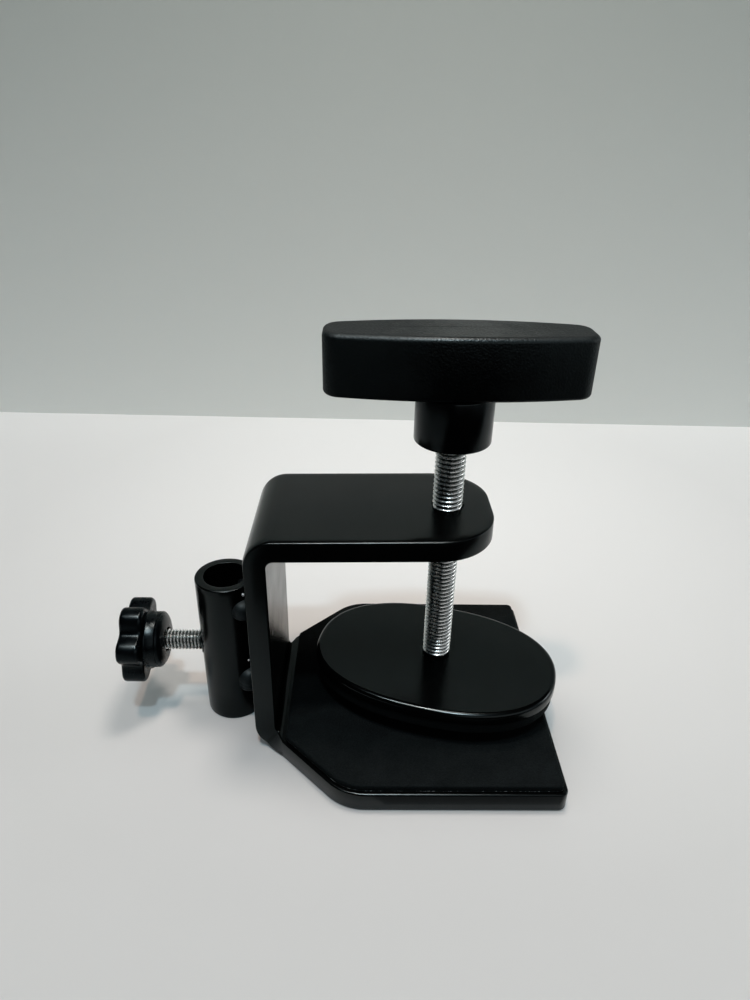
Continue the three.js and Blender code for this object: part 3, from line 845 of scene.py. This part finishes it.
def make_grip(material):
    """A bar with a slight draft, whose top falls away towards its ends."""
    low, high = corners("handle_grip")
    bottom, top = low[2], high[2]
    outline = grip_outline()
    draft = 0.05
    low_round, high_round = (1.1, 1.1), (1.6, 1.3)
    rings = []
    for distance, z in edge_profile(bottom, top, low_round, high_round, 7):
        rings.append(raised(inset(outline, distance + draft * (top - z) / (top - bottom)), z))
    spine = 25.0
    start, end = rings[0], rings[-1]
    crown = 0.25

    def towards_spine(ring, share):
        goal = np.column_stack([np.clip(ring[:, 0], -spine, spine), np.zeros(len(ring)), ring[:, 2]])
        return ring + (goal - ring) * share

    shares = (0.15, 0.35, 0.6, 0.85)
    under = [towards_spine(start, share) for share in reversed(shares)]
    over = [towards_spine(end, share) for share in shares]
    for ring in rings:
        high_up = ring[:, 2] > top - high_round[1] - 0.01
        ring[high_up, 2] -= crown * (ring[high_up, 0] / GRIP_HALF_LENGTH) ** 2
    for ring in over:
        ring[:, 2] -= crown * (ring[:, 0] / GRIP_HALF_LENGTH) ** 2
    points, faces = skin([*under, *rings, *over])
    shape = (about_z(points, HANDLE_TURN), faces)
    piece("handle_bar", shape, material, "clamp_screw", ["handle_grip"])


# Pressure pad.


PAD_HALF = (35.8, 23.6)
PAD_EXPONENT = 2.28
PAD_OFFSET = (-0.3, -1.3)
PAD_TURN = math.radians(-16.4)


def pad_shape(outline, profile, hole):
    """An oval plate with a round hole at the screw, from (inset, z) pairs."""
    rings = plate_rings(outline, profile)
    spokes = rings[-1][:, :2] / np.linalg.norm(rings[-1][:, :2], axis=1)[:, None]
    low, high = profile[0][1], profile[-1][1]
    small = 0.3
    shares = (0.3, 0.6, 0.85)

    def inwards(ring, z):
        loop = ring[:, :2]
        return [raised(loop + (spokes * hole - loop) * share, z) for share in shares]

    top = inwards(rings[-1], high)
    top += [raised(spokes * (hole + small), high), raised(spokes * hole, high - small)]
    under = [raised(spokes * hole, low + small), raised(spokes * (hole + small), low)]
    under += inwards(rings[0], low)[::-1]
    points, faces = skin([*under, *rings, *top], ends="joined")
    return about_z(points, PAD_TURN), faces


def make_pad_plate(material):
    low, high = corners("pressure_plate")
    outline = superellipse(*PAD_HALF, PAD_EXPONENT, 200) + PAD_OFFSET
    profile = edge_profile(low[2], high[2], (0.4, 0.4), (1.5, 1.3), 10)
    shape = pad_shape(outline, profile, hole=3.3)
    piece("pad_plate", shape, material, "pressure_pad", ["pressure_plate"])


def make_pad_foam(material):
    low, high = corners("pad_foam")
    set_back = 0.4  # from the plate's edge
    half = (PAD_HALF[0] - set_back, PAD_HALF[1] - set_back)
    outline = superellipse(*half, PAD_EXPONENT, 200) + PAD_OFFSET
    profile = edge_profile(low[2], high[2], (0.55, 0.55), (0.2, 0.2), 5)
    shape = pad_shape(outline, profile, hole=7.5)
    made = piece("pad_foam_layer", shape, material, "pressure_pad", ["pad_foam"])


# Base foam.


def make_base_foam(material):
    low, high = corners("base_foam_pad")
    inset_by = BASE_END - high[0]
    half = (high[1] - low[1]) / 2
    flare_x = BACK_X + FLARE_START + inset_by * math.sqrt(2)
    start_half = BAR_WIDTH / 2 + low[0] - flare_x
    flare_end = flare_x + half - BAR_WIDTH / 2
    corner = 1.5
    lower = [
        (low[0], -start_half, corner),
        (flare_end, -half, FLARE_BLEND - inset_by),
        (high[0], -half, corner),
    ]
    upper = [(x, -y, radius) for x, y, radius in reversed(lower)]
    outline = rounded_outline(lower + upper)
    rings = plate_rings(outline, edge_profile(low[2], high[2], (0.15, 0.15), (0.45, 0.45), 5))
    spine_start, spine_end = flare_end, high[0] - half * 0.2
    end = rings[-1]
    goal = np.column_stack([np.clip(end[:, 0], spine_start, spine_end), np.zeros(len(end)), end[:, 2]])
    dip, per_mm = 0.05, 0.11

    def shrunk(share):
        moved = end + (goal - end) * share
        places = [Vector((x * per_mm, y * per_mm, 0)) for x, y, _ in moved]
        moved[:, 2] -= [dip * (0.5 + noise.noise(place)) for place in places]
        return moved

    over = [shrunk(share) for share in np.linspace(0.04, 0.98, 26)]
    shape = skin([*rings, *over])
    made = piece("base_foam_layer", shape, material, "bracket", ["base_foam_pad"])


# Washers under the pad.


def washer_shape(inner, outer, low, high, edge, wave=0.0):
    """A washer whose edges are broken by edge, with three waves of height wave round it."""
    profile = [(inner, low + edge), (inner + edge, low), (outer - edge, low), (outer, low + edge)]
    profile += [(outer, high - edge), (outer - edge, high), (inner + edge, high), (inner, high - edge)]
    points, faces = skin(turned(profile, 96), ends="joined")
    angle = np.arctan2(points[:, 1], points[:, 0])
    points[:, 2] += wave * np.cos(3 * angle)
    return points, faces


def make_washers(material):
    low, high = corners("retaining_washer")
    bore = 2.9
    flat = washer_shape(bore, (high[0] - low[0]) / 2, low[2], high[2], edge=0.15)
    piece("flat_washer", flat, material, "screw_washer", ["retaining_washer"], sharp=30)
    low, high = corners("wave_washer")
    bore, wave = 3.1, 0.12
    wavy = washer_shape(bore, (high[0] - low[0]) / 2, low[2] + wave, high[2] - wave, 0.08, wave)
    piece("spring_washer", wavy, material, "pad_swivel_washer", ["wave_washer"], sharp=30)


# Floor, backdrop and light.


def plane(name, places, material):
    mesh = bpy.data.meshes.new(name)
    mesh.from_pydata([Vector(p) * MM for p in places], [], [tuple(range(len(places)))])
    made = bpy.data.objects.new(name, mesh)
    bpy.context.scene.collection.objects.link(made)
    made.data.materials.append(material)
    return made


def level(points, z):
    """A level card's corners."""
    return [(x, y, z) for x, y in points]


def upright(first, last, low, high):
    """An upright card's corners, over the line from first to last."""
    return [(*first, low), (*last, low), (*last, high), (*first, high)]


def make_stage():
    """A pale table with painted light, lighter towards the back and in a painted pool behind the clamp,
    and a wall with painted shade that darkens upwards.
    """
    table = Nodes("table", (0.78, 0.78, 0.765), 0.55, specular=0.2)
    table.roughness(table.remap(table.noise(30.0), 0.3, 0.7, 0.5, 0.62))
    away = table.add("ShaderNodeSeparateXYZ")
    table.link(table.place, away.inputs["Vector"])
    near, far, painted_pool_middle = -0.09, 0.22, (-0.005, 0.10, 0.0)  # in metres, as all node values are
    # Painted light: the table's colour lightens towards the back, and a painted pool of light lightens
    # it behind the clamp.
    painted_light_falloff = table.remap(away.outputs["Y"], near, far, 0.0, 0.57)
    around = table.add("ShaderNodeVectorMath", operation="DISTANCE")
    around.inputs[1].default_value = painted_pool_middle
    table.link(table.place, around.inputs[0])
    painted_light_pool = table.remap(around.outputs["Value"], 0.02, 0.17, 0.43, 0.0)
    table.color_between(table.maths("ADD", painted_light_falloff, painted_light_pool), (0.65, 0.65, 0.638), (0.98, 0.98, 0.962))
    wall = Nodes("wall", (0.60, 0.62, 0.59), 0.8)
    height = wall.add("ShaderNodeSeparateXYZ")
    wall.link(wall.place, height.inputs["Vector"])
    # Painted shade: the wall's colour darkens upwards.
    painted_wall_shade = wall.remap(height.outputs["Z"], 0.0, 0.24, 0.0, 1.0)
    wall.color_between(painted_wall_shade, (0.68, 0.692, 0.66), (0.325, 0.345, 0.32))
    wall.bump(wall.noise(2.0, detail=3.0), 0.02)
    wide, left_y, right_y, top = 1500.0, 265.0, 211.0, 1500.0
    floor = [(-wide, -wide, 0), (wide, -wide, 0), (wide, right_y, 0), (-wide, left_y, 0)]
    plane("floor", floor, table.material)
    plane("backdrop", upright((-wide, left_y), (wide, right_y), -5, top), wall.material)


def make_cards():
    """Cards seen only in reflections: dark where the gloss is dark, and light where it is light."""
    pale = Nodes("pale card", (0.60, 0.615, 0.59), 0.8).material
    black = Nodes("black card", (0.0, 0.0, 0.0), 1.0, specular=0.0).material
    grey = Nodes("grey card", (0.42, 0.42, 0.42), 1.0, specular=0.0).material
    white = Nodes("white card", (0.0, 0.0, 0.0), 1.0, specular=0.0)
    white.shader.inputs["Emission Color"].default_value = (1.0, 1.0, 1.0, 1)
    white.shader.inputs["Emission Strength"].default_value = 0.85
    foot, top, roof = 0.5, 720.0, 1450.0
    wide = 1500
    wall_left, wall_right = (-wide, 262), (wide, 208)
    back_left, front_left, front_right = (-700, 60), (-700, -620), (620, -620)
    near_left, near_right = (-28, -54), (58, -54)
    lying_card = [
        (-80, -85), (-130, -240), (-220, -620), front_right, (620, -40), (230, -60), (150, -85),
        (72, -85), near_right, near_left, (-44, -85),
    ]
    roof_card = [(-wide, -wide), (wide, -wide), (wide, 400), (-wide, 400)]
    cards = {
        "card_lying": (black, level(lying_card, foot)),
        "card_near": (grey, level([(-16, -41.5), near_left, near_right, (40, -41.5)], foot)),
        "card_front": (black, upright(front_left, front_right, foot, top)),
        "card_left": (black, upright(front_left, back_left, foot, top)),
        "card_roof": (black, level(roof_card, roof)),
        "card_upper": (pale, upright(wall_left, wall_right, 240, 350)),
        "card_behind_grip": (pale, upright((-130, 235), (170, 225), 162, 196)),
        "card_top": (black, upright(wall_left, wall_right, 350, roof)),
        "card_white": (white.material, upright((-60, -560), (560, -260), 90, 480)),
    }
    for name, (material, places) in cards.items():
        card = plane(name, places, material)
        card.visible_camera = False
        card.visible_diffuse = False
        card.visible_shadow = False


def area_light(name, place, size, power, color, target=(0, 0, 0), glossy_only=False):
    data = bpy.data.lights.new(name, "AREA")
    data.shape = "RECTANGLE"
    data.size, data.size_y = (s * MM for s in size)
    data.energy = power
    data.color = color
    made = bpy.data.objects.new(name, data)
    made.location = Vector(place) * MM
    toward = Vector(target) - Vector(place)
    made.rotation_mode = "QUATERNION"
    made.rotation_quaternion = toward.to_track_quat("-Z", "Y")
    made.visible_diffuse = not glossy_only
    bpy.context.scene.collection.objects.link(made)


def make_light():
    """Soft room light, two ceiling lamps, one lamp over the clamp and a window.

    The glint lamps light nothing. They only show in the gloss, in a neutral colour.
    """
    world = bpy.data.worlds.new("world")
    world.use_nodes = True
    background = world.node_tree.nodes["Background"]
    background.inputs["Color"].default_value = (0.90, 1.0, 1.06, 1)
    background.inputs["Strength"].default_value = 0.37
    bpy.context.scene.world = world
    lamp = (80, 80)
    front, left, far_left = (-22, -496, 1309), (-176, -227, 1370), (-430, -250, 1370)
    area_light("front", front, lamp, 3.8, (0.76, 1.0, 1.14))
    area_light("left", left, lamp, 2.2, (1.40, 0.98, 0.78))
    area_light("over", (8, 44, 470), (90, 90), 0.60, (1.08, 0.98, 0.92))
    area_light("window", (850, 120, 330), (420, 300), 1.5, (1, 1, 1), target=(0, 0, 60))
    glint = (0.94, 1.0, 1.02)
    area_light("front_glint", front, lamp, 5.1, glint, glossy_only=True)
    area_light("left_glint", left, lamp, 6.4, glint, glossy_only=True)
    area_light("far_left_glint", far_left, (60, 60), 3.9, glint, glossy_only=True)
    view = bpy.context.scene.view_settings
    view.view_transform = "Standard"
    view.look = "None"
    view.use_curve_mapping = True
    curve = view.curve_mapping.curves[3]
    for place, height in TONE_CURVE:
        curve.points.new(place, height)
    for point in curve.points:
        point.handle_type = "VECTOR"
    view.curve_mapping.update()


make_camera()
coat = powder_coat()
foam = foam_finish()
screw_zinc = zinc_plate("zinc plate on the screw", SCREW_RADIUS, SCREW_PITCH, (1, 1, 0), (0, 0, 0))
stud_zinc = zinc_plate("zinc plate on the stud", STUD_RADIUS, STUD_PITCH, (0, 1, 1), (0, 0, STUD_Z))
weld = weld_finish()
washer_steel = plain_steel()
tape = tape_finish()

make_bracket(coat)
make_tube(coat)
welds = ("weld_upper_front", "weld_upper_back", "weld_lower_front", "weld_lower_back")
for seed, node in enumerate(welds, start=1):
    make_weld(node, weld, seed)
make_spatter(washer_steel)
make_base_foam(foam)
make_screw(screw_zinc)
make_stud(stud_zinc)
make_knob(gloss_plastic())
make_hub(hub_finish())
make_grip(grained_plastic())
make_pad_plate(powder_coat("pad powder coat", roughness=0.21))
make_pad_foam(foam)
make_washers(washer_steel)
for node in ("base_foam_tape", "pad_foam_tape"):
    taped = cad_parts[node]
    taped.data.materials.clear()
    taped.data.materials.append(tape)
make_stage()
make_cards()
make_light()
